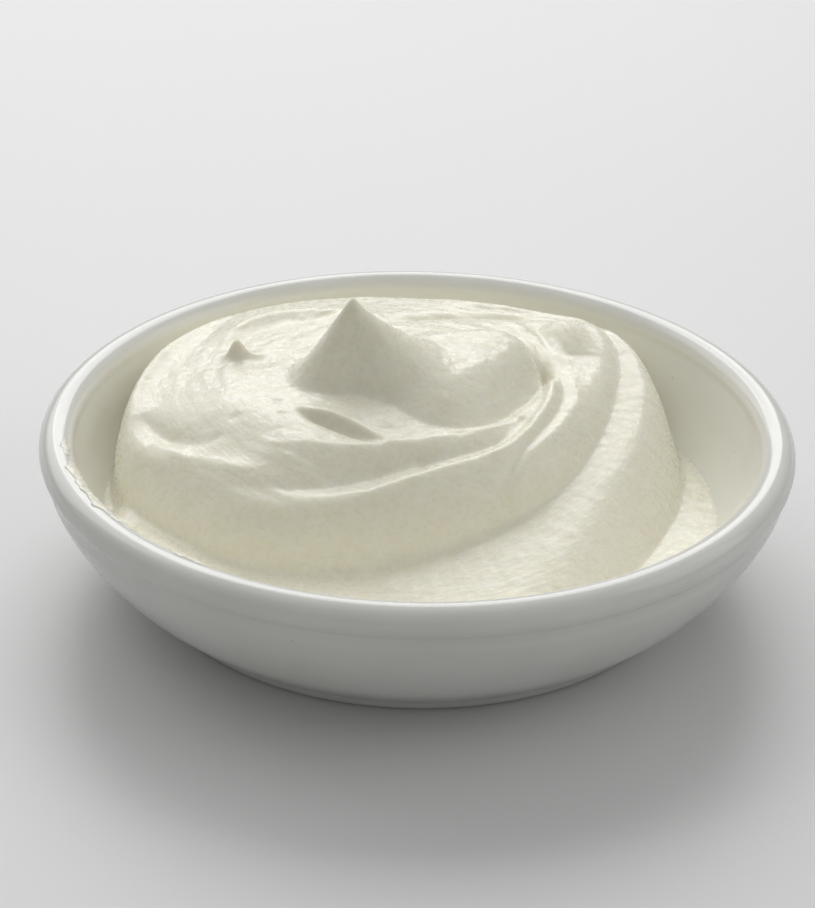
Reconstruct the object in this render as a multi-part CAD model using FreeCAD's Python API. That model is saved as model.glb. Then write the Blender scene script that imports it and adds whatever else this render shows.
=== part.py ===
"""A bowl of yogurt: a small deep dish of thick glazed ware with a folded mound of yogurt.

Two solids in one frame: the bowl, turned about the vertical axis, and the yogurt,
which fills the bowl up to a surface of folds, a dome and a drawn-up peak.
Millimetres, +Z up.  The origin is the centre of the foot's underside.
The front of the dish is -Y and its right side is +X.
"""

import FreeCAD, Part
import math
import os

# ---------------------------------------------------------------- driving dimensions

rim_radius = 70.0                # outermost reach of the rolled rim
rim_bead = 3.18                  # radius of the round bead that ends the wall
rim_height = 31.15               # top of the bead above the table
foot_radius = 51.05              # outer edge of the foot where it meets the table
foot_height = 3.0                # the wall starts this far above the table
foot_ring_width = 5.0            # flat ring that the dish stands on
foot_recess = 1.6                # hollow under the dish, inside the foot ring
floor_level = 5.8                # inside bottom of the dish

front_bed_level = 13.5           # lowest layer of yogurt, seen beside the right wall
back_bed_rise = 10.0             # it is fuller behind
left_bed_rise = 2.0              # and a little fuller at the left
plateau_level = 33.8             # broad top of the mound
peak_top = 51.8                  # tip of the drawn-up peak above the table
peak_place = (-12.5, 9.2)
hill_rise = 2.6                  # gentle swell that the peak stands on
hill_spread = 13.0
tip_sharpening = 3.0             # lifts the control point at the tip, which the smooth surface rounds off

grid_step = 1.5                  # spacing of the surface's control points

# ---------------------------------------------------------------- outlines and folds

bead_centre = (rim_radius - rim_bead, rim_height - rim_bead)

# The outer wall swells from the foot towards the bead, (radius, height).
outer_wall = [(53.1, foot_height), (58.8, 8.0), (63.0, 13.0), (66.4, 18.0), (68.4, 22.4)]

# The inner wall falls from the bead's inside to the flat bottom, (radius, height).
inner_wall = [(62.6, 24.0), (61.0, 19.5), (58.5, 15.5), (55.0, 12.0), (50.0, 9.0), (44.0, 7.0)]
floor_radius = 36.0

# Outer edge of the lower fold: (x, y, width of its rounded shoulder).
lower_fold_edge = [
    (51.2, 15, 9), (50.4, 5, 11), (47.6, -6, 12), (42.8, -18, 13), (37.4, -29, 13), (29, -42, 12),
    (18, -55, 10), (-5, -62, 10), (-30, -56, 10), (-48, -38, 8), (-58, -20, 5), (-50, 0, 6),
    (-30, 25, 6), (0, 46, 6), (24, 50, 6), (37.5, 47, 5), (45.5, 39, 5.5), (50, 27, 7),
]
lower_fold_level = 21.5          # height of the lower fold's top over the origin
lower_fold_slope_x = 0.07        # it climbs to the right
lower_fold_slope_y = 0.16        # and more towards the back
lower_fold_left_rise = 2.4       # its left end lies higher

# Outer edge of the upper mound: (x, y, height at its foot, height of its shoulder, width).
mound_edge = [
    (-53.4, -11, 17.5, 25.5, 6), (-46.4, -19, 18, 25, 8), (-34, -28, 17.5, 25.5, 9),
    (-22, -30.6, 17, 26, 9), (-11.5, -29.6, 17.5, 26.5, 8.5), (-1, -27.5, 18.5, 26.5, 8),
    (7, -24.2, 19.5, 27, 7.5), (13, -21, 20.5, 27.3, 7), (21, -15, 22, 28, 6.5),
    (27.5, -7.3, 23.5, 28.6, 6), (33.3, 4, 25, 29.2, 6), (37.4, 15.6, 26, 29.8, 6),
    (39.9, 27.7, 27, 30.6, 5), (39.2, 37.8, 28, 31.2, 4), (35.4, 45.4, 27, 31.6, 3.5),
    (28.5, 50.2, 24, 31.6, 3.5), (14.5, 54.6, 23, 31.6, 4), (0, 56.6, 22, 31.4, 4),
    (-15, 56.6, 21, 31.2, 4), (-30, 52, 20, 31.2, 4), (-43.4, 42.8, 19, 31, 4),
    (-52.4, 30, 18, 30.4, 3.5), (-56.2, 16, 17, 29.6, 3.5), (-57, 4, 17, 28.6, 3.5), (-56, -5, 17, 27, 4),
]
mound_climb = 26.0               # distance in which the mound climbs to its plateau

# Outer edge of the smooth dome to the right of the peak: (x, y, width of its flank, dip at its foot).
dome_edge = [
    (-8, 2, 12, 0), (-1, -3.4, 12, 0.4), (4, -4.6, 12, 1.1), (8.4, -4.2, 12, 1.5), (13.9, -0.5, 12, 1.7),
    (18, 5.2, 11, 1.7), (21.4, 10.4, 9, 1.7), (24.2, 18.6, 7, 1.4), (23, 25, 6, 0.7), (18.5, 30, 7, 0.3),
    (10, 32, 10, 0), (-2, 30, 12, 0), (-9, 22, 12, 0), (-11, 12, 12, 0),
]
dome_rise = 4.6
dome_moat = 3.5                  # the dip at its foot fades out in this distance

# Folds along their crests: rows of (x, y, rise, width to the left, width to the right).
folds = {
    "long ridge": [
        (25.6, 23, 0, 1.5, 1.5), (25.5, 15.7, 2.0, 1.7, 1.5), (24.4, 7, 2.0, 2.0, 1.5), (20.2, -3.8, 1.9, 2.2, 1.8),
        (13.8, -11.3, 1.8, 2.2, 2.2), (4.2, -16.8, 1.8, 2.4, 3), (-3.5, -21.3, 1.7, 2.6, 3.4),
        (-11.8, -24.6, 1.5, 2.8, 3.4), (-21, -26, 1.1, 3, 3.2), (-30, -24.6, 0.6, 3, 3), (-40, -20.5, 0, 3, 3)],
    "crease beside it": [
        (27.8, 20, 0, 1.2, 1.2), (27.5, 10, -1.1, 1.3, 1.4), (23.6, -1.1, -1.0, 1.0, 1.4), (19.7, -8.1, -1.0, 0.8, 1.2),
        (17, -13.5, -0.9, 0.8, 1.1), (13.6, -17, -0.5, 1.0, 1.3), (7, -20.5, 0, 1.2, 1.4)],
    "hollow behind it": [
        (21, 2, 0, 2, 2), (15, -7, -0.9, 2.6, 2), (5, -13.2, -1.2, 3, 2.4), (-5, -17.4, -1.2, 3.2, 2.6),
        (-15, -20.8, -1.0, 3.2, 2.8), (-25, -21.4, -0.6, 3.2, 3), (-36, -19.5, 0, 3, 3)],
    "tongue": [
        (30, 24, 0, 2, 2), (29.6, 11.2, 0.9, 2, 3), (27.6, 3.2, 0.9, 2, 3), (24.6, -3.8, 0.9, 2, 3),
        (20.6, -11, 0.6, 2, 3), (14, -18, 0, 2, 3)],
    "wrinkle under the dome": [
        (24, 13.5, 0, 1, 1), (21.6, 7.2, 0.9, 1, 1.1), (17, 0, 1.0, 1, 1.2), (11.6, -4.4, 1.0, 1, 1.3),
        (5, -6.6, 0.7, 1, 1.3), (-1, -6, 0, 1, 1)],
    "middle ridge": [
        (19, 0.5, 0, 3, 2), (15, -3, 0.8, 3, 2), (9.6, -6.8, 1.4, 3.4, 2.2), (2, -10.4, 1.6, 4, 2.6),
        (-5.8, -13.1, 1.6, 4, 2.8), (-14, -14.4, 1.5, 4, 3), (-22, -13.4, 1.0, 4, 3.2), (-30, -12, 0, 4, 3)],
    "leaf groove": [
        (-22.4, -2.8, 0, 0.8, 1.6), (-20.4, -5.0, -1.8, 0.8, 2.0), (-17.4, -6.6, -2.6, 0.9, 2.6),
        (-13.6, -8.7, -2.6, 0.9, 2.6), (-10, -10.8, -1.8, 0.9, 2.0), (-5.6, -12.6, 0, 0.8, 1.2)],
    "leaf groove's lip": [
        (-23, -1, 0, 1.6, 0.8), (-20.4, -3.4, 0.5, 1.8, 0.8), (-17, -4.9, 0.7, 2, 0.8), (-13, -7.1, 0.7, 2, 0.8),
        (-9.4, -9.3, 0.5, 1.8, 0.8), (-5.4, -11.4, 0, 1.6, 0.8)],
    "left hollow": [
        (-52, 4, 0, 2, 2), (-49, -0.6, -1.3, 2.2, 2), (-45.6, -4.6, -1.7, 2.6, 2), (-41.5, -7.6, -1.0, 2.6, 2.2),
        (-36, -9.6, 0, 3, 3)],
    "left shoulder": [
        (-50, -4.5, 0, 3, 3), (-44, -10.4, 1.1, 3, 3), (-37.6, -14.6, 1.2, 3, 3.5), (-31.9, -17.4, 1.1, 3, 3.5),
        (-24.6, -19.6, 0.6, 3, 3), (-16, -20.6, 0, 3, 3)],
    "back ridge": [
        (-38.5, 26, 0, 4, 2), (-36.5, 31.5, 1.5, 4, 2.2), (-32.6, 36.5, 2.1, 5, 2.4), (-26.5, 40.2, 2.0, 5, 2.6),
        (-18, 41.2, 1.5, 5, 2.6), (-8, 40.4, 0.5, 5, 3), (0, 40, 0, 5, 3)],
    "edge ridge": [
        (-38, 44, 0, 1.5, 1.5), (-46.5, 33, 0.8, 1.6, 1.8), (-52, 21, 1.0, 1.6, 1.8), (-54.4, 9.5, 0.9, 1.6, 1.8),
        (-53.4, 0, 0, 1.6, 1.6)],
    "back crease": [
        (-8, 36, 0, 2, 1), (-3.5, 39.5, -1.1, 2, 1), (2, 41.6, -1.5, 2, 1.1), (9, 43, -1.5, 2, 1.1),
        (17, 43.6, -1.6, 2, 1.2), (25, 44.4, -1.2, 2, 1), (31, 42, 0, 2, 1)],
    "second back crease": [
        (6, 47.5, 0, 1.5, 1), (13, 48.4, -1.0, 1.5, 1), (20, 48, -1.2, 1.5, 1), (27, 46.6, -0.8, 1.5, 1),
        (33, 42.5, 0, 1.5, 1)],
    "hollow by the knob": [
        (27, 27, 0, 1.6, 1.6), (25, 31, -0.9, 1.6, 1.6), (23.6, 35.6, -1.0, 1.6, 1.6), (22, 40, 0, 1.6, 1.6)],
    "knob": [(25.5, 39.5, 0, 3.4, 3.4), (28, 36.8, 2.4, 3.4, 3.4), (30, 32.6, 2.1, 3.4, 3.4), (30.4, 27.6, 0, 4, 4)],
    "pit": [(22, 24.6, 0, 1, 1), (24.4, 19.4, -2.6, 1.2, 1.0), (23.6, 15, 0, 1, 1)],
    "small peak": [(-37.4, 20.5, 0, 1, 1), (-35.2, 20.6, 3.2, 1.2, 1.6), (-33, 20.5, 1.2, 1.6, 1.8), (-29, 20, 0, 2, 2)],
    "scoop beside it": [(-33, 23.6, 0, 2, 3), (-31, 18.6, -0.9, 2.6, 3), (-27, 14.6, 0, 3, 3)],
}
crest_sharpness = 1.6

# ---------------------------------------------------------------- curves in plan


def smooth_line(points, closed, steps=4):
    """Points along a smooth curve through the given rows of numbers."""
    count = len(points)
    line = []
    for i in range(count if closed else count - 1):
        rows = [points[(i + k) % count] for k in (-1, 0, 1, 2)]
        if not closed:
            rows[0] = points[max(i - 1, 0)]
            rows[3] = points[min(i + 2, count - 1)]
        for step in range(steps):
            t = step / steps
            line.append(tuple(blend_four(*column, t) for column in zip(*rows)))
    if not closed:
        line.append(tuple(float(value) for value in points[-1]))
    return line


def blend_four(before, start, end, after, t):
    """Value at t between start and end on a curve that heeds its neighbours."""
    slope_in = (end - before) / 2
    slope_out = (after - start) / 2
    bend = 3 * (end - start) - 2 * slope_in - slope_out
    twist = 2 * (start - end) + slope_in + slope_out
    return start + t * (slope_in + t * (bend + t * twist))


def nearest_on(line, closed, x, y):
    """Distance to a line, whether the point is left of it, and the row of values there."""
    nearest = 1e9
    left = True
    row = line[0]
    for a, b in zip(line, line[1:] + line[:1] if closed else line[1:]):
        along_x = b[0] - a[0]
        along_y = b[1] - a[1]
        length_squared = along_x ** 2 + along_y ** 2
        t = ((x - a[0]) * along_x + (y - a[1]) * along_y) / length_squared
        t = min(max(t, 0.0), 1.0)
        distance = math.hypot(x - a[0] - t * along_x, y - a[1] - t * along_y)
        if distance < nearest:
            nearest = distance
            left = along_x * (y - a[1]) - along_y * (x - a[0]) > 0
            row = tuple(p + t * (q - p) for p, q in zip(a, b))
    return nearest, left, row


def is_inside(line, x, y):
    """Whether a point lies within a closed line."""
    inside = False
    for a, b in zip(line, line[1:] + line[:1]):
        if (a[1] > y) != (b[1] > y):
            if x < a[0] + (y - a[1]) * (b[0] - a[0]) / (b[1] - a[1]):
                inside = not inside
    return inside


def inward_distance(line, x, y):
    """Distance inwards from a closed line, negative outside it."""
    distance = nearest_on(line, True, x, y)[0]
    return distance if is_inside(line, x, y) else -distance


def edge_values(line, x, y):
    """Blends the values held along an edge line, nearer ones counting more."""
    weights = [1 / ((x - row[0]) ** 2 + (y - row[1]) ** 2 + 4) ** 2 for row in line]
    total = sum(weights)
    columns = list(zip(*line))[2:]
    return [sum(weight * value for weight, value in zip(weights, column)) / total for column in columns]


# ---------------------------------------------------------------- yogurt surface

lower_line = smooth_line(lower_fold_edge, True)
mound_line = smooth_line(mound_edge, True)
dome_line = smooth_line(dome_edge, True)
fold_lines = [smooth_line(rows, False) for rows in folds.values()]


def shoulder(distance, width, fullness):
    """0 at a fold's edge and 1 from its width inwards, rounded like a soft lip."""
    inward = min(max(distance / width, 0.0), 1.0)
    return 1 - (1 - inward) ** fullness


def lip(distance, width, fullness):
    """A fold's rounded edge, which runs on steeply downwards outside its line."""
    return shoulder(distance, width, fullness) if distance > 0 else fullness * distance / width


def soft_step(value):
    value = min(max(value, 0.0), 1.0)
    return value * value * (3 - 2 * value)


def higher(first, second, softness=0.6):
    """The higher of two surfaces, with a small hollow curve where they meet."""
    mix = min(max(0.5 + 0.5 * (first - second) / softness, 0.0), 1.0)
    return second + (first - second) * mix + softness * mix * (1 - mix)


def bed_height(x, y):
    behind = soft_step((y - 12) / 30) * soft_step((38 - x) / 20)
    return front_bed_level + back_bed_rise * behind + left_bed_rise * soft_step((-x - 25) / 25)


def lower_fold_height(x, y):
    base = bed_height(x, y)
    width = edge_values(lower_line, x, y)[0]
    top = lower_fold_level + lower_fold_slope_x * x + lower_fold_slope_y * y
    top += lower_fold_left_rise * soft_step((-18 - x) / 26)
    return higher(base + max(top - base, 2) * lip(inward_distance(lower_line, x, y), width, 2.0), base)


def mound_height(x, y, inward):
    foot, top, width = edge_values(mound_line, x, y)
    height = foot + (top - foot) * lip(inward, width, 2.4)
    return height + (plateau_level - top) * soft_step(inward / mound_climb)


def dome_height(x, y):
    width, dip = edge_values(dome_line, x, y)
    inward = inward_distance(dome_line, x, y)
    if inward > 0:
        return dome_rise * shoulder(inward, width, 1.7) - dip
    return -dip * math.exp(-(inward / dome_moat) ** 2)


def fold_height(x, y):
    total = 0.0
    for line in fold_lines:
        distance, left, row = nearest_on(line, False, x, y)
        rise, left_width, right_width = row[2:]
        total += rise * math.exp(-(distance / (left_width if left else right_width)) ** crest_sharpness)
    return total


def hill_height(x, y):
    return hill_rise * math.exp(-((x - peak_place[0]) ** 2 + (y - peak_place[1]) ** 2) / hill_spread ** 2)


def peak_shape(x, y):
    """A cone, 1 at its tip, with straight flanks on its left and a hollow flank on its right."""
    from_x = x - peak_place[0]
    from_y = y - peak_place[1]
    distance = max(math.hypot(from_x, from_y), 0.01)
    rightward = soft_step(0.5 + 0.5 * from_x / distance)
    forward = max(-from_y / distance, 0) ** 2
    reach = 12.5 + 8.5 * rightward - 1.5 * forward
    hollowness = 1.25 + 0.8 * rightward
    return max(1 - distance / reach, 0) ** hollowness


def height_below_peak(x, y):
    inward = inward_distance(mound_line, x, y)
    relief = 0.0
    if inward > 0:
        relief = (dome_height(x, y) + fold_height(x, y) + hill_height(x, y)) * soft_step(inward / 2)
    return higher(mound_height(x, y, inward) + relief, lower_fold_height(x, y))


peak_rise = peak_top - height_below_peak(*peak_place)


def surface_height(x, y):
    height = height_below_peak(x, y) + peak_rise * peak_shape(x, y)
    away = math.hypot(x - peak_place[0], y - peak_place[1])
    return height + tip_sharpening * math.exp(-(away / grid_step) ** 2)


# ---------------------------------------------------------------- solids


def vector(radius, height):
    return FreeCAD.Vector(radius, 0, height)


def spline(points):
    curve = Part.BSplineCurve()
    curve.interpolate(points)
    return curve.toShape()


def arc(first, middle, last):
    return Part.Arc(first, middle, last).toShape()


def bead_point(degrees):
    """Point on the rim's bead, counted from its outermost side upwards."""
    angle = math.radians(degrees)
    radius = bead_centre[0] + rim_bead * math.cos(angle)
    return vector(radius, bead_centre[1] + rim_bead * math.sin(angle))


def turn_about_axis(edges):
    wire = Part.Wire(edges)
    solid = Part.Face(wire).revolve(FreeCAD.Vector(0, 0, 0), FreeCAD.Vector(0, 0, 1), 360)
    return solid


def inner_wall_edge():
    """The inside of the wall, from the bead down to the flat bottom."""
    points = [bead_point(180)] + [vector(*place) for place in inner_wall]
    curve = Part.BSplineCurve()
    last = vector(floor_radius, floor_level)
    curve.interpolate(Points=points + [last], InitialTangent=vector(0, -1), FinalTangent=vector(-1, 0))
    return curve.toShape()


def make_bowl():
    wall_top = bead_point(-48)
    ring_inside = foot_radius - foot_ring_width
    foot_edge = vector(foot_radius, 0)
    foot_top = vector(*outer_wall[0])
    edges = [
        Part.LineSegment(vector(0, foot_recess), vector(ring_inside - foot_recess, foot_recess)).toShape(),
        Part.LineSegment(vector(ring_inside - foot_recess, foot_recess), vector(ring_inside, 0)).toShape(),
        Part.LineSegment(vector(ring_inside, 0), foot_edge).toShape(),
        Part.LineSegment(foot_edge, foot_top).toShape(),
        spline([vector(*place) for place in outer_wall] + [wall_top]),
        arc(wall_top, bead_point(20), bead_point(90)),
        arc(bead_point(90), bead_point(135), bead_point(180)),
        inner_wall_edge(),
        Part.LineSegment(vector(floor_radius, floor_level), vector(0, floor_level)).toShape(),
        Part.LineSegment(vector(0, floor_level), vector(0, foot_recess)).toShape(),
    ]
    return turn_about_axis(edges)


def make_cavity():
    """The space inside the bowl, carried straight up past the peak."""
    ceiling = peak_top + rim_height
    lip = bead_point(180)
    edges = [
        Part.LineSegment(vector(0, ceiling), vector(0, floor_level)).toShape(),
        Part.LineSegment(vector(0, floor_level), vector(floor_radius, floor_level)).toShape(),
        inner_wall_edge(),
        Part.LineSegment(lip, vector(lip.x, ceiling)).toShape(),
        Part.LineSegment(vector(lip.x, ceiling), vector(0, ceiling)).toShape(),
    ]
    return turn_about_axis(edges)


def make_surface_block():
    """A square block under the yogurt's surface, larger than the bowl's inside."""
    reach = rim_radius - rim_bead
    count = int(2 * reach / grid_step) + 1
    places = [-reach + i * grid_step for i in range(count)]
    poles = [[FreeCAD.Vector(x, y, surface_height(x, y)) for y in places] for x in places]
    ends = [4] + [1] * (count - 4) + [4]
    knots = [float(i) for i in range(len(ends))]
    surface = Part.BSplineSurface()
    surface.buildFromPolesMultsKnots(poles, ends, ends, knots, knots, False, False, 3, 3)
    top = surface.toShape()
    return top.extrude(FreeCAD.Vector(0, 0, -2 * rim_height))


def make_yogurt():
    return make_cavity().common(make_surface_block())


def main():
    os.makedirs("parts", exist_ok=True)
    for name, shape in (("bowl", make_bowl()), ("yogurt", make_yogurt())):
        solid = shape.Solids[0]
        box = solid.BoundBox
        print(name, "solids", len(shape.Solids), "valid", solid.isValid(), "volume", round(solid.Volume),
              "x", round(box.XMin, 2), round(box.XMax, 2), "z", round(box.ZMin, 2), round(box.ZMax, 2))
        solid.exportStep("parts/" + name + ".step")


main()
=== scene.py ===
# %% [markdown]
# # A bowl of yogurt
#
# This lesson builds a small glazed dish filled with thick yogurt.  The dish is turned, like
# pottery on a wheel.  The yogurt is a grid of points that is raised into folds, a dome and a
# drawn-up peak, the way a spoon leaves them.  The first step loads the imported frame, which
# gives the sizes of both things.

# %% load the frame
import math

import bpy
import numpy as np
from mathutils import Matrix, Vector


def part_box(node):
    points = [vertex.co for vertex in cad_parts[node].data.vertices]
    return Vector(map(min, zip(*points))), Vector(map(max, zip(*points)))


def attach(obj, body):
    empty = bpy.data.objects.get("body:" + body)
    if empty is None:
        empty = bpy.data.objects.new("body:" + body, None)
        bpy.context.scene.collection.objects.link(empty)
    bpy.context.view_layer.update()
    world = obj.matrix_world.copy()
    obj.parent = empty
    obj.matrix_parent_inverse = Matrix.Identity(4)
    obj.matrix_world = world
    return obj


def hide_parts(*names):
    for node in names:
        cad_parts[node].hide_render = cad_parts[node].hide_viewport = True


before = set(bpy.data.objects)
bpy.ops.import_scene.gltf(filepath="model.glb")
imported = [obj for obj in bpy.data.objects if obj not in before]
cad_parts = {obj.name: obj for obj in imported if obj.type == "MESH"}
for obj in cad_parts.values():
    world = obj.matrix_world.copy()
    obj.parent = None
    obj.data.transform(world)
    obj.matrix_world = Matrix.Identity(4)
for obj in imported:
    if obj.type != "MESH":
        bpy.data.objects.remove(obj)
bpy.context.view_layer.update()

bowl_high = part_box("bowl")[1]
yogurt_low, yogurt_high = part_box("yogurt")
mm = 0.001
rim_radius = bowl_high.x
rim_height = bowl_high.z
peak_top = yogurt_high.z
bowl_floor = yogurt_low.z
print("rim radius", round(rim_radius / mm, 2), "rim height", round(rim_height / mm, 2),
      "peak", round(peak_top / mm, 2), "inside bottom", round(bowl_floor / mm, 2))

# %% [markdown]
# ## The camera
#
# A close portrait lens looks down on the dish at thirty degrees.  The camera is placed by its
# height angle and distance, aims a little above the middle of the dish, and is rolled by one
# degree, as when a tripod head isn't quite level.

# %% place the camera
view_elevation = math.radians(30.255)
view_distance = 500 * mm
view_roll = math.radians(1.0805)
view_lens = 103.47
aim = (-0.0256 * rim_radius, 0.0, 0.7567 * rim_height)


def place_camera():
    place = Vector((0, -view_distance * math.cos(view_elevation), view_distance * math.sin(view_elevation)))
    ahead = (Vector(aim) - place).normalized()
    turn = ahead.to_track_quat("-Z", "Y").to_matrix()
    camera_data = bpy.data.cameras.new("camera")
    camera_data.lens = view_lens
    camera_data.clip_start = 0.01
    camera = bpy.data.objects.new("camera", camera_data)
    camera.matrix_world = Matrix.Translation(place) @ (turn @ Matrix.Rotation(view_roll, 3, "Z")).to_4x4()
    bpy.context.scene.collection.objects.link(camera)
    bpy.context.scene.camera = camera
    return camera


camera = place_camera()
print("camera at", [round(value, 4) for value in camera.matrix_world.translation])

# %% [markdown]
# ## Floor and light
#
# A pale floor and a few large soft lamps, as in a small product studio.  The main lamp hangs
# behind the dish, so that slopes which face the camera fall into soft shade and the tops shine.

# %% floor
floor_size = 6.0


def make_floor():
    bpy.ops.mesh.primitive_plane_add(size=floor_size)
    floor = bpy.context.object
    floor.name = "floor"
    material = bpy.data.materials.new("floor")
    material.use_nodes = True
    shader = material.node_tree.nodes["Principled BSDF"]
    shader.inputs["Base Color"].default_value = (0.66, 0.66, 0.66, 1)
    shader.inputs["Roughness"].default_value = 0.5
    shader.inputs["Specular IOR Level"].default_value = 1.0
    floor.data.materials.append(material)
    return floor


bpy.ops.object.select_all(action="DESELECT")
floor = make_floor()
print("floor", floor_size, "m wide")

# %% lamps


def soft_lamp(name, azimuth, elevation, distance, size, power):
    """A square area lamp that faces the dish.  Azimuth runs from +X towards +Y, in degrees."""
    around = math.radians(azimuth)
    up = math.radians(elevation)
    direction = Vector((math.cos(around) * math.cos(up), math.sin(around) * math.cos(up), math.sin(up)))
    data = bpy.data.lights.new(name, "AREA")
    data.size = size
    data.energy = power
    lamp = bpy.data.objects.new(name, data)
    lamp.location = direction * distance
    lamp.rotation_euler = (-direction).to_track_quat("-Z", "Y").to_euler()
    bpy.context.scene.collection.objects.link(lamp)
    return lamp


def set_surroundings(low, high):
    """A white studio round the dish, dim near the floor and brighter overhead."""
    world = bpy.data.worlds.new("studio")
    bpy.context.scene.world = world
    world.use_nodes = True
    tree = world.node_tree
    direction = tree.nodes.new("ShaderNodeTexCoord")
    split = tree.nodes.new("ShaderNodeSeparateXYZ")
    strength = tree.nodes.new("ShaderNodeMapRange")
    strength.inputs["To Min"].default_value = low
    strength.inputs["To Max"].default_value = high
    background = tree.nodes["Background"]
    background.inputs["Color"].default_value = (1, 1, 1, 1)
    tree.links.new(direction.outputs["Generated"], split.inputs["Vector"])
    tree.links.new(split.outputs["Z"], strength.inputs["Value"])
    tree.links.new(strength.outputs["Result"], background.inputs["Strength"])


soft_lamp("lamp_back", 90, 38, 1.2, 0.8, 6.2)
soft_lamp("lamp_back_left", 130, 35, 1.2, 0.9, 3.4)
soft_lamp("lamp_right", 0, 30, 1.2, 0.8, 2.0)
set_surroundings(0.16, 0.58)
bpy.context.scene.view_settings.view_transform = "Standard"

# %% [markdown]
# ## The dish
#
# The real dish is thrown or pressed on a wheel, so its form is one outline turned about an
# axis.  The outline is drawn once as a chain of short edges, half a section of the wall, and
# the spin tool turns it round.

# %% the outline of the dish
bead = 0.04543 * rim_radius
bead_radius = rim_radius - bead
bead_height = rim_height - bead


def between(a, b, c, d, t):
    """A place between b and c on a smooth curve that also runs through a and d."""
    return 0.5 * (2 * b + (c - a) * t + (2 * a - 5 * b + 4 * c - d) * t ** 2
                  + (3 * b - a - 3 * c + d) * t ** 3)


def curve_through(points, steps):
    """Points on a smooth curve through the given rows of numbers, the ends included."""
    rows = np.array(points, float)
    rows = np.vstack([2 * rows[0] - rows[1], rows, 2 * rows[-1] - rows[-2]])
    line = []
    for a, b, c, d in zip(rows, rows[1:], rows[2:], rows[3:]):
        for t in np.arange(steps) / steps:
            line.append(between(a, b, c, d, t))
    line.append(rows[-2])
    return np.array(line)


def arc_points(centre, radius, first, last, steps):
    angles = np.radians(np.linspace(first, last, steps))
    return np.column_stack([centre[0] + radius * np.cos(angles), centre[1] + radius * np.sin(angles)])


def dish_outline():
    """Half a section of the dish, from the middle of its underside out, over the rim and back."""
    foot = np.array([(0, 1.6), (30, 1.6), (43.6, 1.6), (44.6, 1.3), (45.4, 0.5), (46.3, 0.05),
                     (47.2, 0), (49.6, 0), (50.5, 0.1), (51.05, 0.6), (51.5, 1.6)]) * mm
    wall = curve_through(np.array([(52.4, 2.7), (53.6, 3.5), (58.8, 8.0), (63.0, 13.0), (66.4, 18.0),
                                   (68.35, 22.2), (68.75, 24.2), (69.15, 25.8)]) * mm, 4)
    rim = arc_points((bead_radius, bead_height), bead, -36, 176, 22)
    inside = curve_through([(bead_radius - bead, bead_height - 0.4 * mm)] + [
        (radius * mm, height * mm) for radius, height in
        ((62.6, 24.0), (61.0, 19.5), (58.5, 15.5), (55.0, 12.0), (50.0, 9.0), (44.0, 7.0))]
        + [(36 * mm, bowl_floor), (20 * mm, bowl_floor), (0, bowl_floor)], 5)
    return np.vstack([foot, wall, rim, inside])


outline = dish_outline()
print("outline points", len(outline))

# %% turn the dish
turn_steps = 224


def turned(name, points, steps):
    """A closed piece from an outline in the X-Z plane that starts and ends on the axis."""
    bpy.ops.object.select_all(action="DESELECT")
    bpy.ops.mesh.primitive_plane_add(size=mm)
    piece = bpy.context.object
    piece.name = name
    bpy.ops.object.mode_set(mode="EDIT")
    bpy.ops.mesh.merge(type="CENTER")
    bpy.ops.transform.translate(value=(points[0][0], 0, points[0][1]))
    for before, after in zip(points, points[1:]):
        step = after - before
        bpy.ops.mesh.extrude_region_move(TRANSFORM_OT_translate={"value": (step[0], 0, step[1])})
    bpy.ops.mesh.select_all(action="SELECT")
    bpy.ops.mesh.spin(steps=steps, angle=math.tau, center=(0, 0, 0), axis=(0, 0, 1))
    bpy.ops.mesh.select_all(action="SELECT")
    bpy.ops.mesh.remove_doubles(threshold=0.002 * mm)
    bpy.ops.mesh.normals_make_consistent(inside=False)
    bpy.ops.object.mode_set(mode="OBJECT")
    bpy.ops.object.shade_smooth()
    return piece


dish = turned("dish", outline, turn_steps)
print("dish faces", len(dish.data.polygons), "size", [round(side / mm, 1) for side in dish.dimensions])

# %% [markdown]
# ## The yogurt's surface
#
# Thick yogurt keeps the marks of the spoon.  Its surface here is a height for each place in
# plan: a low bed, a broad lower fold, the upper mound lying on it, then ridges and grooves
# along lines that follow the folds of one real bowl, a dome and the peak.  The lines' places
# and heights are estimates.  Each layer is a short function of the distance to its edge line,
# so every fold has its own width and height.

# %% lines and distances


def loop_through(points, steps):
    """Points on a smooth closed curve through the given rows of numbers."""
    rows = np.array(points, float)
    line = []
    for i in range(len(rows)):
        a, b, c, d = (rows[(i + k) % len(rows)] for k in (-1, 0, 1, 2))
        for t in np.arange(steps) / steps:
            line.append(between(a, b, c, d, t))
    return np.array(line)


def measure_to(line, x, y, closed):
    """Distance to a line, the side (+1 left), and the line's further columns there."""
    best = np.full(x.shape, np.inf)
    side = np.ones(x.shape)
    extra = np.zeros(x.shape + (line.shape[1] - 2,))
    ends = np.roll(line, -1, axis=0) if closed else line[1:]
    starts = line if closed else line[:-1]
    lengths = np.hypot(*(ends - starts)[:, :2].T)
    for i, (start, end) in enumerate(zip(starts, ends)):
        step = end - start
        t = ((x - start[0]) * step[0] + (y - start[1]) * step[1]) / (lengths[i] ** 2 + 1e-12)
        t = np.clip(t, 0, 1)
        away_x = x - start[0] - t * step[0]
        away_y = y - start[1] - t * step[1]
        distance = np.hypot(away_x, away_y)
        closer = distance < best
        best = np.where(closer, distance, best)
        side = np.where(closer, np.sign(step[0] * (y - start[1]) - step[1] * (x - start[0])), side)
        for k in range(extra.shape[-1]):
            extra[..., k] = np.where(closer, start[k + 2] + t * step[k + 2], extra[..., k])
    return best, side, extra


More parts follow.
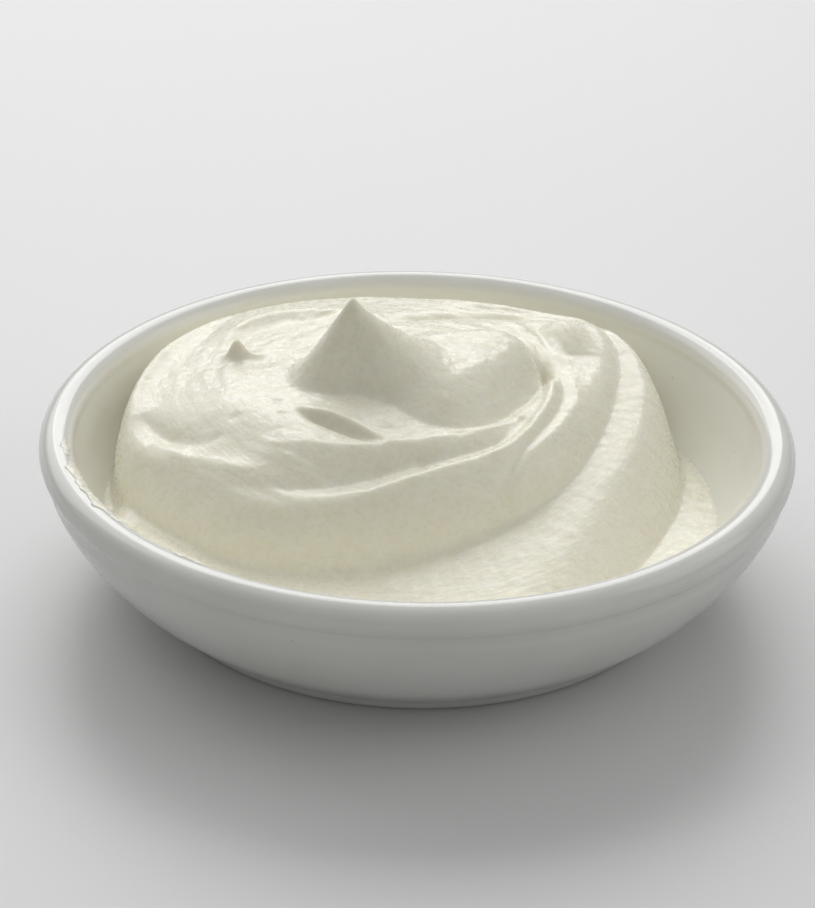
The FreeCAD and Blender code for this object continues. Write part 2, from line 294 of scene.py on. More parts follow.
def within(line, x, y):
    """Whether each place lies inside a closed line."""
    inside = np.zeros(x.shape, bool)
    for a, b in zip(line, np.roll(line, -1, axis=0)):
        if a[1] != b[1]:
            crosses = (a[1] > y) != (b[1] > y)
            inside ^= crosses & (x < a[0] + (y - a[1]) * (b[0] - a[0]) / (b[1] - a[1]))
    return inside


def shoulder(distance, width, fullness=2.4):
    """0 at a fold's edge and 1 from its width inwards, rounded like a soft lip."""
    return 1 - (1 - np.clip(distance / width, 0, 1)) ** fullness


def soft_step(value):
    value = np.clip(value, 0, 1)
    return value * value * (3 - 2 * value)


def signed_distance(line, x, y):
    """Distance inwards from a closed edge line, negative outside it."""
    distance = measure_to(line, x, y, True)[0]
    return np.where(within(line, x, y), distance, -distance)


def lip(distance, width, fullness=2.4):
    """A fold's rounded edge, which runs on steeply downwards outside its line."""
    return np.where(distance > 0, shoulder(distance, width, fullness), fullness * distance / width)


def higher(first, second, softness=0.6):
    """The higher of two surfaces, with a small hollow curve where they meet."""
    mix = np.clip(0.5 + 0.5 * (first - second) / softness, 0, 1)
    return second + (first - second) * mix + softness * mix * (1 - mix)


# %% the bed and the lower fold, in millimetres
front_bed_level = 13.5
back_bed_rise = 10.0
left_bed_rise = 2.0
lower_fold_level = 21.5
lower_fold_slope_right = 0.07
lower_fold_slope_back = 0.16
lower_fold_left_rise = 2.4
lower_fold_fullness = 2.0
least_fold_height = 2.0
line_steps = 6
# Each row is (x, y, width of the rounded edge).
lower_fold_edge = [
    (51.2, 15, 9), (50.4, 5, 11), (47.6, -6, 12), (42.8, -18, 13), (37.4, -29, 13), (29, -42, 12),
    (18, -55, 10), (-5, -62, 10), (-30, -56, 10), (-48, -38, 8), (-58, -20, 5), (-50, 0, 6),
    (-30, 25, 6), (0, 46, 6), (24, 50, 6), (37.5, 47, 5), (45.5, 39, 5.5), (50, 27, 7),
]


def edge_values(line, x, y):
    """Blends the values held along an edge line, nearer ones counting more."""
    total = np.zeros(x.shape)
    values = np.zeros(x.shape + (line.shape[1] - 2,))
    for row in line:
        weight = 1 / ((x - row[0]) ** 2 + (y - row[1]) ** 2 + 4) ** 2
        total += weight
        values += weight[..., None] * row[2:]
    return np.moveaxis(values / total[..., None], -1, 0)


def bed(x, y):
    """The lowest yogurt, which is fuller behind and at the left."""
    behind = soft_step((y - 12) / 30) * soft_step((38 - x) / 20)
    return front_bed_level + back_bed_rise * behind + left_bed_rise * soft_step((-x - 25) / 25)


def lower_fold(x, y):
    edge = loop_through(lower_fold_edge, line_steps)
    width = edge_values(edge, x, y)[0]
    base = bed(x, y)
    top = (lower_fold_level + lower_fold_slope_right * x + lower_fold_slope_back * y
           + lower_fold_left_rise * soft_step((-18 - x) / 26))
    rounding = lip(signed_distance(edge, x, y), width, lower_fold_fullness)
    fold = base + np.maximum(top - base, least_fold_height) * rounding
    return higher(fold, base)


# %% the upper mound
plateau_level = 33.8
mound_climb = 26.0
# Each row is (x, y, height of the foot, height of the top, width of the rounded lip).
mound_edge = [
    (-53.4, -11, 17.5, 25.5, 6), (-46.4, -19, 18, 25, 8), (-34, -28, 17.5, 25.5, 9),
    (-22, -30.6, 17, 26, 9), (-11.5, -29.6, 17.5, 26.5, 8.5), (-1, -27.5, 18.5, 26.5, 8),
    (7, -24.2, 19.5, 27, 7.5), (13, -21, 20.5, 27.3, 7), (21, -15, 22, 28, 6.5),
    (27.5, -7.3, 23.5, 28.6, 6), (33.3, 4, 25, 29.2, 6), (37.4, 15.6, 26, 29.8, 6),
    (39.9, 27.7, 27, 30.6, 5), (39.2, 37.8, 28, 31.2, 4), (35.4, 45.4, 27, 31.6, 3.5),
    (28.5, 50.2, 24, 31.6, 3.5), (14.5, 54.6, 23, 31.6, 4), (0, 56.6, 22, 31.4, 4),
    (-15, 56.6, 21, 31.2, 4), (-30, 52, 20, 31.2, 4), (-43.4, 42.8, 19, 31, 4),
    (-52.4, 30, 18, 30.4, 3.5), (-56.2, 16, 17, 29.6, 3.5), (-57, 4, 17, 28.6, 3.5), (-56, -5, 17, 27, 4),
]


def upper_mound(x, y):
    edge = loop_through(mound_edge, line_steps)
    distance = signed_distance(edge, x, y)
    foot, top, width = edge_values(edge, x, y)
    height = foot + (top - foot) * lip(distance, width)
    return height + (plateau_level - top) * soft_step(distance / mound_climb), distance


# %% the dome beside the peak
# Each row is (x, y, width of the rounded flank, depth of the dip at its foot).
dome_edge = [
    (-8, 2, 12, 0), (-1, -3.4, 12, 0.4), (4, -4.6, 12, 1.1), (8.4, -4.2, 12, 1.5), (13.9, -0.5, 12, 1.7),
    (18, 5.2, 11, 1.7), (21.4, 10.4, 9, 1.7), (24.2, 18.6, 7, 1.4), (23, 25, 6, 0.7), (18.5, 30, 7, 0.3),
    (10, 32, 10, 0), (-2, 30, 12, 0), (-9, 22, 12, 0), (-11, 12, 12, 0),
]
dome_rise = 4.6
dome_fullness = 1.7
dome_moat = 3.5


def dome(x, y):
    edge = loop_through(dome_edge, line_steps)
    width, dip = edge_values(edge, x, y)
    distance = measure_to(edge, x, y, True)[0]
    swell = dome_rise * shoulder(distance, width, dome_fullness) - dip
    return np.where(within(edge, x, y), swell, -dip * np.exp(-(distance / dome_moat) ** 2))


# %% ridges and grooves drawn by the spoon
# Each fold is a row of (x, y, rise, width to the left, width to the right) along its crest.
folds = {
    "long ridge": [
        (25.6, 23, 0, 1.5, 1.5), (25.5, 15.7, 2.0, 1.7, 1.5), (24.4, 7, 2.0, 2.0, 1.5),
        (20.2, -3.8, 1.9, 2.2, 1.8), (13.8, -11.3, 1.8, 2.2, 2.2), (4.2, -16.8, 1.8, 2.4, 3),
        (-3.5, -21.3, 1.7, 2.6, 3.4), (-11.8, -24.6, 1.5, 2.8, 3.4), (-21, -26, 1.1, 3, 3.2),
        (-30, -24.6, 0.6, 3, 3), (-40, -20.5, 0, 3, 3),
    ],
    "crease beside it": [
        (27.8, 20, 0, 1.2, 1.2), (27.5, 10, -1.1, 1.3, 1.4), (23.6, -1.1, -1.0, 1.0, 1.4),
        (19.7, -8.1, -1.0, 0.8, 1.2), (17, -13.5, -0.9, 0.8, 1.1), (13.6, -17, -0.5, 1.0, 1.3),
        (7, -20.5, 0, 1.2, 1.4),
    ],
    "hollow behind it": [
        (21, 2, 0, 2, 2), (15, -7, -1.0, 2.6, 2), (5, -13.2, -1.6, 3, 2.2),
        (-5, -17.4, -1.8, 3.2, 2.4), (-15, -20.8, -1.6, 3.2, 2.6), (-25, -21.6, -1.1, 3.2, 2.8),
        (-36, -19.5, 0, 3, 3),
    ],
    "tongue": [
        (30, 24, 0, 2, 2), (29.6, 11.2, 0.9, 2, 3), (27.6, 3.2, 0.9, 2, 3),
        (24.6, -3.8, 0.9, 2, 3), (20.6, -11, 0.6, 2, 3), (14, -18, 0, 2, 3),
    ],
    "wrinkle under the dome": [
        (24, 13.5, 0, 1, 1), (21.6, 7.2, 0.9, 1, 1.1), (17, 0, 1.0, 1, 1.2),
        (11.6, -4.4, 1.0, 1, 1.3), (5, -6.6, 0.7, 1, 1.3), (-1, -6, 0, 1, 1),
    ],
    "middle ridge": [
        (19, 0.5, 0, 3, 2), (15, -3, 0.8, 3, 2), (9.6, -6.8, 1.4, 3.4, 2.2),
        (2, -10.4, 1.6, 4, 2.6), (-5.8, -13.1, 1.6, 4, 2.8), (-14, -14.4, 1.5, 4, 3),
        (-22, -13.4, 1.0, 4, 3.2), (-30, -12, 0, 4, 3),
    ],
    "leaf groove": [
        (-22.4, -3.2, 0, 0.6, 0.8), (-20.4, -5.0, -1.2, 0.6, 1.0), (-17.4, -6.6, -1.7, 0.7, 1.2),
        (-13.6, -8.7, -1.8, 0.7, 1.2), (-10, -10.8, -1.3, 0.7, 1.1), (-5.6, -12.8, 0, 0.6, 0.9),
    ],
    "leaf groove's lip": [
        (-23, -1.4, 0, 1.6, 0.8), (-20.4, -3.8, 0.7, 1.6, 0.7), (-17, -5.3, 1.0, 1.8, 0.7),
        (-13, -7.5, 1.0, 1.8, 0.7), (-9.4, -9.7, 0.7, 1.6, 0.7), (-5.4, -11.6, 0, 1.4, 0.8),
    ],
    "left hollow": [
        (-52, 4, 0, 2, 2), (-49, -0.6, -1.3, 2.2, 2), (-45.6, -4.6, -1.7, 2.6, 2),
        (-41.5, -7.6, -1.0, 2.6, 2.2), (-36, -9.6, 0, 3, 3),
    ],
    "left shoulder": [
        (-50, -4.5, 0, 3, 3), (-44, -10.4, 1.1, 3, 3), (-37.6, -14.6, 1.2, 3, 3.5),
        (-31.9, -17.4, 1.1, 3, 3.5), (-24.6, -19.6, 0.6, 3, 3), (-16, -20.6, 0, 3, 3),
    ],
    "back ridge": [
        (-38.5, 26, 0, 4, 2), (-36.5, 31.5, 1.5, 4, 2.2), (-32.6, 36.5, 2.1, 5, 2.4),
        (-26.5, 40.2, 2.0, 5, 2.6), (-18, 41.2, 1.5, 5, 2.6), (-8, 40.4, 0.5, 5, 3),
        (0, 40, 0, 5, 3),
    ],
    "edge ridge": [
        (-38, 44, 0, 1.5, 1.5), (-46.5, 33, 0.8, 1.6, 1.8), (-52, 21, 1.0, 1.6, 1.8),
        (-54.4, 9.5, 0.9, 1.6, 1.8), (-53.4, 0, 0, 1.6, 1.6),
    ],
    "back crease": [
        (-8, 36, 0, 2, 1), (-3.5, 39.5, -1.1, 2, 1), (2, 41.6, -1.5, 2, 1.1),
        (9, 43, -1.5, 2, 1.1), (17, 43.6, -1.6, 2, 1.2), (25, 44.4, -1.2, 2, 1),
        (31, 42, 0, 2, 1),
    ],
    "second back crease": [
        (6, 47.5, 0, 1.5, 1), (13, 48.4, -1.0, 1.5, 1), (20, 48, -1.2, 1.5, 1),
        (27, 46.6, -0.8, 1.5, 1), (33, 42.5, 0, 1.5, 1),
    ],
    "hollow by the knob": [
        (27, 27, 0, 1.6, 1.6), (25, 31, -0.9, 1.6, 1.6), (23.6, 35.6, -1.0, 1.6, 1.6),
        (22, 40, 0, 1.6, 1.6),
    ],
    "knob": [
        (25.5, 39.5, 0, 3.4, 3.4), (28, 36.8, 2.4, 3.4, 3.4), (30, 32.6, 2.1, 3.4, 3.4),
        (30.4, 27.6, 0, 4, 4),
    ],
    "pit": [
        (22, 24.6, 0, 1, 1), (24.4, 19.4, -3.4, 1.3, 1.1), (23.6, 15, 0, 1, 1),
    ],
    "small peak": [
        (-37.4, 20.5, 0, 1, 1), (-35.2, 20.6, 4.2, 1.1, 1.3), (-33, 20.5, 1.5, 1.4, 1.6),
        (-29, 20, 0, 2, 2),
    ],
    "scoop beside it": [
        (-33, 23.6, 0, 2, 3), (-31, 18.6, -0.9, 2.6, 3), (-27, 14.6, 0, 3, 3),
    ],
}


crest_sharpness = 1.4
print("folds", len(folds), "rows", sum(len(rows) for rows in folds.values()))


def fold_relief(x, y):
    relief = np.zeros(x.shape)
    for rows in folds.values():
        gap, side, values = measure_to(curve_through(rows, line_steps), x, y, False)
        rise, left, right = np.moveaxis(values, -1, 0)
        relief += rise * np.exp(-(gap / np.where(side > 0, left, right)) ** crest_sharpness)
    return relief


# %% ripples and bubbles left by stirring
sweep_centre = (-4.0, 16.0)
ripple_count = 30
ripple_width = 1.25
ripple_depth = 0.2
fine_ripple_width = 1.9
patch_size = 9.0
cross_ripple_depth = 0.09
cross_ripple_length = 5.0
cross_ripples_per_ripple = 7
bubble_count = 110
bubble_reach = 46.0
wave_rows = 96
patch_repeat = 64


def wavy(u, v, around, seed):
    """Smooth random waves from -1 to 1, one to each unit, that close up after so many units of u."""
    values = np.random.default_rng(seed).uniform(-1, 1, (wave_rows, around))
    column = np.floor(u).astype(int)
    row = np.floor(v).astype(int)
    s = soft_step(u - column)
    t = soft_step(v - row)
    here = column % around
    beyond = (column + 1) % around
    low = values[row % wave_rows, here] * (1 - s) + values[row % wave_rows, beyond] * s
    high = values[(row + 1) % wave_rows, here] * (1 - s) + values[(row + 1) % wave_rows, beyond] * s
    return low * (1 - t) + high * t


def ripples(x, y):
    """Fine ridges that run the way the spoon went, with a finer unevenness over them."""
    radius = np.hypot(x - sweep_centre[0], y - sweep_centre[1])
    turn = np.arctan2(y - sweep_centre[1], x - sweep_centre[0]) / math.tau
    long_waves = wavy(turn * ripple_count, radius / ripple_width + 3 * turn, ripple_count, 3)
    short_waves = wavy(turn * 3 * ripple_count, radius / fine_ripple_width, 3 * ripple_count, 5)
    patches = 0.55 + 0.45 * wavy(x / patch_size + 40, y / patch_size + 40, patch_repeat, 8)
    return ripple_depth * (long_waves + 0.6 * short_waves) * patches


def cross_ripples(x, y):
    """Short ridges down the slope of the lower fold."""
    radius = np.hypot(x - sweep_centre[0], y - sweep_centre[1])
    turn = np.arctan2(y - sweep_centre[1], x - sweep_centre[0]) / math.tau
    count = cross_ripples_per_ripple * ripple_count
    return cross_ripple_depth * wavy(turn * cross_ripples_per_ripple * ripple_count,
                                     radius / cross_ripple_length, count, 12)


def bubbles(x, y):
    """Small round pits and beads, scattered over the mound."""
    random = np.random.default_rng(21)
    relief = np.zeros(x.shape)
    for _ in range(bubble_count):
        around = random.uniform(0, math.tau)
        out = bubble_reach * math.sqrt(random.uniform(0, 1))
        size = random.uniform(0.45, 0.9)
        depth = random.choice([-0.35, 0.3]) * size
        gap = (x - out * math.cos(around)) ** 2 + (y - out * math.sin(around)) ** 2
        relief += depth * np.exp(-gap / size ** 2)
    return relief


# %% the drawn-up peak
peak_place = (-12.5, 9.2)
hill_rise = 2.0
hill_spread = 13.0
peak_reach = 12.2
right_flank_stretch = 8.8
front_flank_cut = 4.2
flank_hollow = 1.25
right_flank_hollow = 0.8


def peak_shape(x, y):
    """A cone, 1 at its tip, with straight flanks on its left and a hollow flank on its right."""
    from_x = x - peak_place[0]
    from_y = y - peak_place[1]
    distance = np.hypot(from_x, from_y)
    rightward = np.clip(from_x / np.maximum(distance, 0.01), 0, 1) ** 2
    forward = np.clip(-from_y / np.maximum(distance, 0.01), 0, 1) ** 2
    reach = peak_reach + right_flank_stretch * rightward - front_flank_cut * forward
    hollowness = flank_hollow + right_flank_hollow * rightward
    return np.clip(1 - distance / reach, 0, 1) ** hollowness


def hill(x, y):
    """The gentle swell that the peak stands on."""
    return hill_rise * np.exp(-((x - peak_place[0]) ** 2 + (y - peak_place[1]) ** 2) / hill_spread ** 2)


# %% the whole surface


def height_below_peak(x, y):
    mound, inward = upper_mound(x, y)
    relief = (dome(x, y) + fold_relief(x, y) + hill(x, y) + bubbles(x, y)) * soft_step(inward / 2)
    on_top = 0.25 + 0.75 * soft_step((inward - 1.5) / 4)
    return higher(mound + relief + ripples(x, y) * on_top, lower_fold(x, y) + cross_ripples(x, y))


peak_base = height_below_peak(*np.array(peak_place).reshape(2, 1))[0]
peak_rise = peak_top / mm - peak_base
print("the peak stands", round(peak_rise, 2), "mm above its hill")


def surface_height(x, y):
    return height_below_peak(x, y) + peak_rise * peak_shape(x, y)


# %% [markdown]
# A grid is added flat, its square outline is eased into a disc, and each point is raised to
# the surface.  The rim of the grid is then drawn down along the inside of the dish and closed
# below, so that the yogurt is one closed body that reaches just into the dish's wall.

# %% raise the grid
grid_count = 250
wall_overlap = 1.5


def wall_radius(height):
    """Inside radius of the dish at a height, in millimetres."""
    inner = outline[np.argmax(outline[:, 1]):] / mm
    order = np.argsort(inner[:, 1], kind="stable")
    return np.interp(height, inner[order, 1], inner[order, 0])


def square_to_disc(u, v):
    """Eases a square from -1 to 1 into a disc, keeping its cells about even."""
    big = np.where(np.abs(u) > np.abs(v), u, v)
    small = np.where(np.abs(u) > np.abs(v), v, u)
    angle = math.pi / 4 * small / np.where(big == 0, 1, big)
    along = big * np.cos(angle)
    across = big * np.sin(angle)
    upright = np.abs(u) <= np.abs(v)
    return np.where(upright, across, along), np.where(upright, along, across)


raster_step = 0.4
raster_reach = 66.0
relax_rounds = 80
relax_share = 0.7
overhang_share = 0.06
most_overhang = 0.6
small_step = 0.05


def surface_raster():
    line = np.arange(-raster_reach, raster_reach + raster_step, raster_step)
    return surface_height(*np.meshgrid(line, line))


def look_up(raster, x, y):
    """A height between the points of the raster."""
    column = np.clip((x + raster_reach) / raster_step, 0, raster.shape[1] - 1.001)
    row = np.clip((y + raster_reach) / raster_step, 0, raster.shape[0] - 1.001)
    j = column.astype(int)
    i = row.astype(int)
    u = column - j
    v = row - i
    near = raster[i, j] * (1 - u) + raster[i, j + 1] * u
    far = raster[i + 1, j] * (1 - u) + raster[i + 1, j + 1] * u
    return near * (1 - v) + far * v


def wall_reach(raster, angle):
    """How far out the yogurt goes in each direction before it meets the dish."""
    reach = np.full(angle.shape, 50.0)
    for radius in np.arange(50, 65, 0.1):
        height = look_up(raster, radius * np.cos(angle), radius * np.sin(angle))
        reach = np.where(radius <= wall_radius(height) + wall_overlap, radius, reach)
    return reach


def relaxed(x, y, raster):
    """Slides the inner points of the grid over the surface until its edges are about even."""
    for _ in range(relax_rounds):
        points = np.stack([x, y, look_up(raster, x, y)], -1)
        across = np.linalg.norm(points[:, 1:] - points[:, :-1], axis=-1)
        along = np.linalg.norm(points[1:] - points[:-1], axis=-1)
        pulls = (across[1:-1, :-1], across[1:-1, 1:], along[:-1, 1:-1], along[1:, 1:-1])
        total = sum(pulls)
        for place in (x, y):
            near = (place[1:-1, :-2], place[1:-1, 2:], place[:-2, 1:-1], place[2:, 1:-1])
            goal = sum(pull * value for pull, value in zip(pulls, near)) / total
            place[1:-1, 1:-1] += relax_share * (goal - place[1:-1, 1:-1])
    return x, y


def overhung(x, y, z):
    """Leans the mound's lip out over its foot, as a soft fold lies on the one below."""
    edge = loop_through(mound_edge, line_steps)
    distance = signed_distance(edge, x, y)
    foot, top, width = edge_values(edge, x, y)
    climbed = np.clip((z - foot) / (top - foot), 0, 1)
    most = np.minimum(overhang_share * (top - foot), most_overhang)
    lean = most * np.sin(math.pi * climbed ** 0.8) * soft_step((distance + 1.5) / 1.5)
    lean = lean * (1 - soft_step((distance - 0.4 * width) / width))
    slope_x = signed_distance(edge, x + small_step, y) - distance
    slope_y = signed_distance(edge, x, y + small_step) - distance
    steepness = np.maximum(np.hypot(slope_x, slope_y), 1e-6)
    return x - lean * slope_x / steepness, y - lean * slope_y / steepness


def make_yogurt():
    bpy.ops.object.select_all(action="DESELECT")
    bpy.ops.mesh.primitive_grid_add(x_subdivisions=grid_count, y_subdivisions=grid_count, size=2)
    piece = bpy.context.object
    piece.name = "yogurt_mass"
    places = np.empty(len(piece.data.vertices) * 3)
    piece.data.vertices.foreach_get("co", places)
    side = grid_count + 1
    u, v = places.reshape(side, side, 3)[..., :2].transpose(2, 0, 1)
    x, y = square_to_disc(u, v)
    share = np.hypot(x, y)
    angle = np.arctan2(y, x)
    raster = surface_raster()
    reach = wall_reach(raster, angle)
    x, y = relaxed(share * reach * np.cos(angle), share * reach * np.sin(angle), raster)
    z = surface_height(x, y)
    x, y = overhung(x, y, z)
    places = np.stack([x, y, z], -1) * mm
    piece.data.vertices.foreach_set("co", places.ravel())
    piece.data.update()
    bpy.ops.object.mode_set(mode="EDIT")
    bpy.ops.mesh.select_all(action="SELECT")
    bpy.ops.mesh.vertices_smooth(factor=0.5, repeat=1)
    bpy.ops.mesh.region_to_loop()
    bpy.ops.mesh.extrude_region_move(TRANSFORM_OT_translate={"value": (0, 0, -3 * mm)})
    bpy.ops.transform.resize(value=(0.93, 0.93, 1), center_override=(0, 0, 0))
    bpy.ops.mesh.extrude_region_move(TRANSFORM_OT_translate={"value": (0, 0, -3 * mm)})
    bpy.ops.transform.resize(value=(0.7, 0.7, 0), center_override=(0, 0, bowl_floor - 0.3 * mm))
    bpy.ops.mesh.edge_face_add()
    bpy.ops.mesh.select_all(action="SELECT")
    bpy.ops.mesh.normals_make_consistent(inside=False)
    bpy.ops.object.mode_set(mode="OBJECT")
    bpy.ops.object.shade_smooth()
    return piece


yogurt = make_yogurt()
print("yogurt faces", len(yogurt.data.polygons),
      "size", [round(side / mm, 1) for side in yogurt.dimensions])

# %% [markdown]
# ## Smears on the rim
#
# Where the spoon knocked the near edge of the dish, a little yogurt stuck to the inside of the
# rim.  Each smear is a sphere pressed thin and long, then wrapped round the rounded rim.

# %% smears
# Each smear is (first angle round the dish, last angle, height angle on the rim, width, thickness).
smears = [
    (189, 195, 120, 0.8, 0.2), (196, 208, 128, 1.5, 0.3), (204, 217, 124, 1.4, 0.35),
    (213, 222, 134, 1.2, 0.3), (230, 238, 126, 0.9, 0.35),
]


def make_smear(number, first, last, height_angle, width, thickness):
    bpy.ops.object.select_all(action="DESELECT")
    bpy.ops.mesh.primitive_uv_sphere_add(segments=48, ring_count=16, radius=1)
    piece = bpy.context.object
    piece.name = "smear_" + str(number)
    places = np.empty(len(piece.data.vertices) * 3)
    piece.data.vertices.foreach_get("co", places)
    along, across, lift = places.reshape(-1, 3).T
    uneven = 1 + 0.3 * np.sin(6 * along + 2 * number) + 0.15 * np.sin(15 * along + number)
    angle = np.radians(first + (last - first) * (along + 1) / 2)
    around_bead = np.radians(height_angle) + across * uneven * width * mm / bead
    lumps = 1 + 0.3 * np.sin(17 * along + 5 * across)
    out = bead + np.where(lift > 0, lift * thickness * lumps, lift * 0.5) * mm
    radius = bead_radius + out * np.cos(around_bead)
    height = bead_height + out * np.sin(around_bead)
    places = np.column_stack([radius * np.cos(angle), radius * np.sin(angle), height])
    piece.data.vertices.foreach_set("co", places.ravel())
    piece.data.update()
    bpy.ops.object.mode_set(mode="EDIT")
    bpy.ops.mesh.select_all(action="SELECT")
    bpy.ops.mesh.normals_make_consistent(inside=False)
    bpy.ops.object.mode_set(mode="OBJECT")
    bpy.ops.object.shade_smooth()
    return piece


smear_pieces = [make_smear(number, *row) for number, row in enumerate(smears, 1)]
print("smears", len(smear_pieces))

# %% [markdown]
# ## Finishes
#
# Both finishes are white, and both need small unevenness to look real.  A shared group of nodes
# gives a fine grain.  The glaze takes a faint waviness and small changes in gloss from it, and
# has a few faint pinholes.  Inside the dish it is painted brighter and warmer, painted light on
# the up-facing glaze, which a value stored on the mesh marks.  The yogurt takes tiny bumps that
# catch the light, with streaks that follow the spoon, and light sinks a little way into it.

# %% a shared grain


def add_node(tree, kind, **settings):
    node = tree.nodes.new(kind)
    for name, value in settings.items():
        setattr(node, name, value)
    return node


def make_grain():
    """A group of nodes that gives fine and coarse unevenness from the object's own coordinates."""
    group = bpy.data.node_groups.new("grain", "ShaderNodeTree")
    group.interface.new_socket(name="Fine Scale", in_out="INPUT", socket_type="NodeSocketFloat")
    group.interface.new_socket(name="Coarse Scale", in_out="INPUT", socket_type="NodeSocketFloat")
    group.interface.new_socket(name="Fine", in_out="OUTPUT", socket_type="NodeSocketFloat")
    group.interface.new_socket(name="Coarse", in_out="OUTPUT", socket_type="NodeSocketFloat")
    entry = group.nodes.new("NodeGroupInput")
    leave = group.nodes.new("NodeGroupOutput")
    place = group.nodes.new("ShaderNodeTexCoord")
    for name, detail in (("Fine", 3.0), ("Coarse", 2.0)):
        noise = group.nodes.new("ShaderNodeTexNoise")
        noise.inputs["Detail"].default_value = detail
        group.links.new(place.outputs["Object"], noise.inputs["Vector"])
        group.links.new(entry.outputs[name + " Scale"], noise.inputs["Scale"])
        group.links.new(noise.outputs["Fac"], leave.inputs[name])
    return group


grain = make_grain()
print("grain outputs", [item.name for item in grain.interface.items_tree])

# %% glaze


def use_grain(tree, fine_scale, coarse_scale):
    node = tree.nodes.new("ShaderNodeGroup")
    node.node_tree = grain
    node.inputs["Fine Scale"].default_value = fine_scale
    node.inputs["Coarse Scale"].default_value = coarse_scale
    return node


def ramp(tree, source, first, last, low, high):
    """Colours or greys between two places of a 0 to 1 value."""
    node = tree.nodes.new("ShaderNodeValToRGB")
    node.color_ramp.elements[0].position = first
    node.color_ramp.elements[1].position = last
    node.color_ramp.elements[0].color = low
    node.color_ramp.elements[1].color = high
    tree.links.new(source, node.inputs["Fac"])
    return node


def mark_painted_lit_inside(piece):
    """Stores 1 on the points inside the dish, which face up, easing to 0 on the rim, and 0 elsewhere.  The
    glaze is painted brighter and warmer there, painted light on the up-facing inside.
    """
    count = len(piece.data.vertices)
    places = np.empty(count * 3)
    facing = np.empty(count * 3)
    piece.data.vertices.foreach_get("co", places)
    piece.data.vertices.foreach_get("normal", facing)
    radius = np.hypot(*places.reshape(-1, 3)[:, :2].T)
    below_rim = soft_step((bead_radius - 0.4 * bead - radius) / (0.6 * bead))
    inside = np.where(facing.reshape(-1, 3)[:, 2] > 0, below_rim, 0)
    piece.data.attributes.new("inside", "FLOAT", "POINT").data.foreach_set("value", inside)
    print("points inside the dish", int(np.sum(inside > 0)), "of", count)


shaded_white = (0.71, 0.71, 0.675, 1)
clear_white = (0.755, 0.751, 0.72, 1)
pinhole_white = (0.84, 0.82, 0.78, 1)
# Painted light: the up-facing inside of the dish is painted this brighter, warmer white, as if lit from
# above.
painted_lit_white = (0.88, 0.87, 0.79, 1)


def make_glaze():
    material = bpy.data.materials.new("white_glaze")
    material.use_nodes = True
    tree = material.node_tree
    shader = tree.nodes["Principled BSDF"]
    unevenness = use_grain(tree, 900.0, 60.0)
    tone = ramp(tree, unevenness.outputs["Coarse"], 0.3, 0.7, shaded_white, clear_white)
    pinholes = tree.nodes.new("ShaderNodeTexVoronoi")
    pinholes.inputs["Scale"].default_value = 150.0
    place = tree.nodes.new("ShaderNodeTexCoord")
    tree.links.new(place.outputs["Object"], pinholes.inputs["Vector"])
    specks = ramp(tree, pinholes.outputs["Distance"], 0.035, 0.06, pinhole_white, (1, 1, 1, 1))
    # Painted light: the marked inside of the dish is mixed towards the brighter, warmer white.
    painted_light_mix = tree.nodes.new("ShaderNodeMix")
    painted_light_mix.data_type = "RGBA"
    painted_light_mix.inputs["B"].default_value = painted_lit_white
    inside = tree.nodes.new("ShaderNodeAttribute")
    inside.attribute_name = "inside"
    tree.links.new(inside.outputs["Fac"], painted_light_mix.inputs["Factor"])
    tree.links.new(tone.outputs["Color"], painted_light_mix.inputs["A"])
    both = tree.nodes.new("ShaderNodeMix")
    both.data_type = "RGBA"
    both.blend_type = "MULTIPLY"
    both.inputs["Factor"].default_value = 1.0
    tree.links.new(painted_light_mix.outputs["Result"], both.inputs["A"])
    tree.links.new(specks.outputs["Color"], both.inputs["B"])
    tree.links.new(both.outputs["Result"], shader.inputs["Base Color"])
    gloss = ramp(tree, unevenness.outputs["Fine"], 0.3, 0.7, (0.13, 0.13, 0.13, 1), (0.2, 0.2, 0.2, 1))
    tree.links.new(gloss.outputs["Color"], shader.inputs["Roughness"])
    bump = tree.nodes.new("ShaderNodeBump")
    bump.inputs["Strength"].default_value = 0.25
    bump.inputs["Distance"].default_value = 0.1 * mm
    tree.links.new(unevenness.outputs["Coarse"], bump.inputs["Height"])
    tree.links.new(bump.outputs["Normal"], shader.inputs["Normal"])
    return material


mark_painted_lit_inside(dish)
glaze = make_glaze()

# %% yogurt


streak_spread = 9.0
streak_density = 650.0


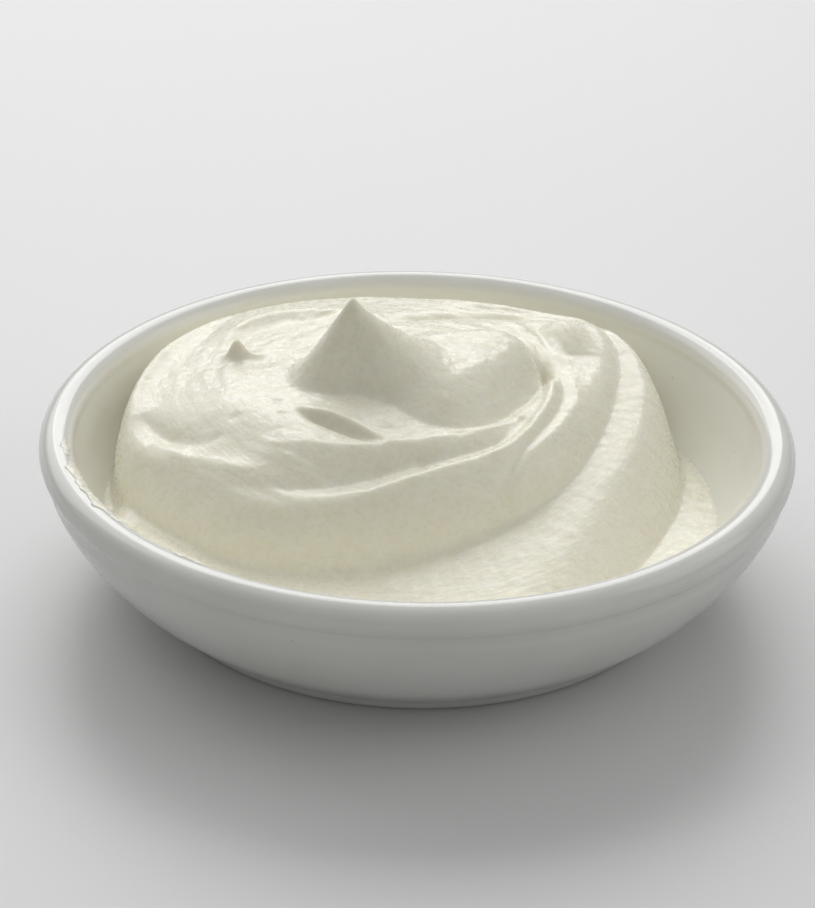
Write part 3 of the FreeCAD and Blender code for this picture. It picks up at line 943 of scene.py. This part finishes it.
def add_streaks(tree):
    """Noise drawn out round the middle of the mound, the way the spoon went."""
    place = tree.nodes.new("ShaderNodeTexCoord")
    shift = add_node(tree, "ShaderNodeVectorMath", operation="SUBTRACT")
    shift.inputs[1].default_value = (sweep_centre[0] * mm, sweep_centre[1] * mm, 0)
    flat = add_node(tree, "ShaderNodeVectorMath", operation="MULTIPLY")
    flat.inputs[1].default_value = (1, 1, 0)
    heading = add_node(tree, "ShaderNodeVectorMath", operation="NORMALIZE")
    spread = add_node(tree, "ShaderNodeVectorMath", operation="SCALE")
    spread.inputs["Scale"].default_value = streak_spread
    radius = add_node(tree, "ShaderNodeVectorMath", operation="LENGTH")
    finer = add_node(tree, "ShaderNodeMath", operation="MULTIPLY")
    finer.inputs[1].default_value = streak_density
    raised = tree.nodes.new("ShaderNodeCombineXYZ")
    joined = add_node(tree, "ShaderNodeVectorMath", operation="ADD")
    noise = tree.nodes.new("ShaderNodeTexNoise")
    noise.inputs["Scale"].default_value = 1.0
    noise.inputs["Detail"].default_value = 2.0
    tree.links.new(place.outputs["Object"], shift.inputs[0])
    tree.links.new(shift.outputs["Vector"], flat.inputs[0])
    tree.links.new(flat.outputs["Vector"], heading.inputs[0])
    tree.links.new(heading.outputs["Vector"], spread.inputs[0])
    tree.links.new(flat.outputs["Vector"], radius.inputs[0])
    tree.links.new(radius.outputs["Value"], finer.inputs[0])
    tree.links.new(finer.outputs["Value"], raised.inputs["Z"])
    tree.links.new(spread.outputs["Vector"], joined.inputs[0])
    tree.links.new(raised.outputs["Vector"], joined.inputs[1])
    tree.links.new(joined.outputs["Vector"], noise.inputs["Vector"])
    return noise


deeper_cream = (0.84, 0.81, 0.665, 1)
paler_cream = (0.87, 0.845, 0.72, 1)
wet_roughness = (0.24, 0.24, 0.24, 1)
dull_roughness = (0.42, 0.42, 0.42, 1)
streak_height = 0.2 * mm
bump_strength = 0.8


def make_yogurt_finish():
    material = bpy.data.materials.new("yogurt_finish")
    material.use_nodes = True
    tree = material.node_tree
    shader = tree.nodes["Principled BSDF"]
    unevenness = use_grain(tree, 900.0, 380.0)
    streaks = add_streaks(tree)
    tone = ramp(tree, unevenness.outputs["Coarse"], 0.3, 0.7, deeper_cream, paler_cream)
    tree.links.new(tone.outputs["Color"], shader.inputs["Base Color"])
    wetness = ramp(tree, unevenness.outputs["Fine"], 0.4, 0.65, wet_roughness, dull_roughness)
    tree.links.new(wetness.outputs["Color"], shader.inputs["Roughness"])
    heights = (("Fine", 0.02), ("Coarse", 0.17))
    normal = None
    for name, distance in heights:
        bump = tree.nodes.new("ShaderNodeBump")
        bump.inputs["Strength"].default_value = bump_strength
        bump.inputs["Distance"].default_value = distance * mm
        tree.links.new(unevenness.outputs[name], bump.inputs["Height"])
        if normal:
            tree.links.new(normal, bump.inputs["Normal"])
        normal = bump.outputs["Normal"]
    bump = tree.nodes.new("ShaderNodeBump")
    bump.inputs["Strength"].default_value = bump_strength
    bump.inputs["Distance"].default_value = streak_height
    tree.links.new(streaks.outputs["Fac"], bump.inputs["Height"])
    tree.links.new(normal, bump.inputs["Normal"])
    tree.links.new(bump.outputs["Normal"], shader.inputs["Normal"])
    shader.inputs["Subsurface Weight"].default_value = 0.6
    shader.inputs["Subsurface Radius"].default_value = (1.0, 0.9, 0.65)
    shader.inputs["Subsurface Scale"].default_value = 1.0 * mm
    return material


yogurt_finish = make_yogurt_finish()
dish.data.materials.append(glaze)
yogurt.data.materials.append(yogurt_finish)
for piece in smear_pieces:
    piece.data.materials.append(yogurt_finish)
print("materials", glaze.name, yogurt_finish.name)

# %% attach the pieces
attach(dish, "root")
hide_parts("bowl")
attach(yogurt, "root")
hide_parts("yogurt")
for piece in smear_pieces:
    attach(piece, "root")
